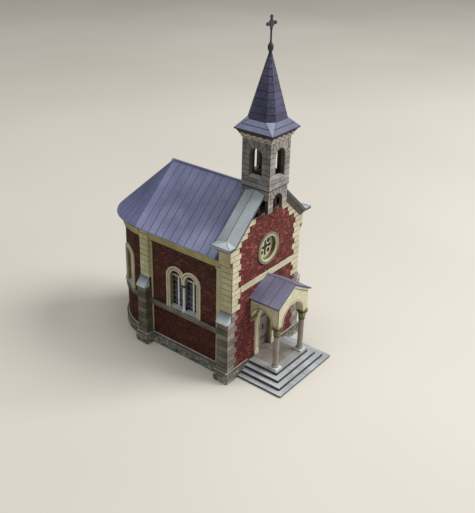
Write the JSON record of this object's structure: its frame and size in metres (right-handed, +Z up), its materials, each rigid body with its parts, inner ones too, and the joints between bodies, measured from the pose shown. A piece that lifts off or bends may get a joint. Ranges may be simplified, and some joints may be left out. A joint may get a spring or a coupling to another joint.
{
  "type": "scale model chapel",
  "caption": "Small brick chapel as a card scale model: nave with round apse, gabled front with bell turret and spire, and an open columned porch on steps.",
  "frame": {"origin": "centre of the bounding box, at ground level", "axes": "+Z up, -Y towards the front with the porch, X across the front"},
  "size_m": [0.0714, 0.128, 0.1887],
  "materials": {
    "brick": "printed card, red brick",
    "cream_stone": "printed card, cream ashlar",
    "grey_stone": "printed card, grey stone",
    "rubble": "printed card, rubble stone",
    "roof_sheet": "printed card, standing-seam sheet",
    "coping_sheet": "printed card, pale sheet metal",
    "spire_slate": "printed card, slate sheet",
    "turret_stone": "printed card, grey ashlar",
    "step_stone": "printed card, grey stone",
    "door_panel": "printed card, grey-brown boards",
    "dark_pane": "dark glossy pane",
    "finial_metal": "dark painted wire"
  },
  "bodies": {
    "root": {"plinth": "rubble", "nave_floor": "step_stone", "front_wall": "brick", "left_wall": "brick", "right_wall": "brick", "apse_wall": "brick", "front_piers": "cream_stone", "rear_piers": "cream_stone", "pier_caps": "coping_sheet", "sill_bands": "grey_stone", "eaves_cornice": "cream_stone", "side_window_surrounds": "cream_stone", "apse_window_surrounds": "cream_stone", "window_colonnettes": "cream_stone", "window_glass": "dark_pane", "oculus_ring": "cream_stone", "oculus_tracery": "cream_stone", "oculus_glass": "dark_pane", "front_band": "cream_stone", "door_surround": "cream_stone", "left_door": "door_panel", "right_door": "door_panel", "left_coping": "coping_sheet", "right_coping": "coping_sheet", "gable_mouldings": "grey_stone", "left_roof": "roof_sheet", "right_roof": "roof_sheet", "apse_roof": "roof_sheet", "turret_front": "turret_stone", "turret_sides": "turret_stone", "turret_back": "turret_stone", "turret_floor": "turret_stone", "turret_frieze": "cream_stone", "spire_skirt": "spire_slate", "spire": "spire_slate", "finial": "finial_metal", "cross": "finial_metal", "porch_front": "cream_stone", "porch_sides": "cream_stone", "left_porch_roof": "roof_sheet", "right_porch_roof": "roof_sheet", "porch_columns": "cream_stone", "steps": "step_stone", "platform": "step_stone"}
  },
  "joints": []
}
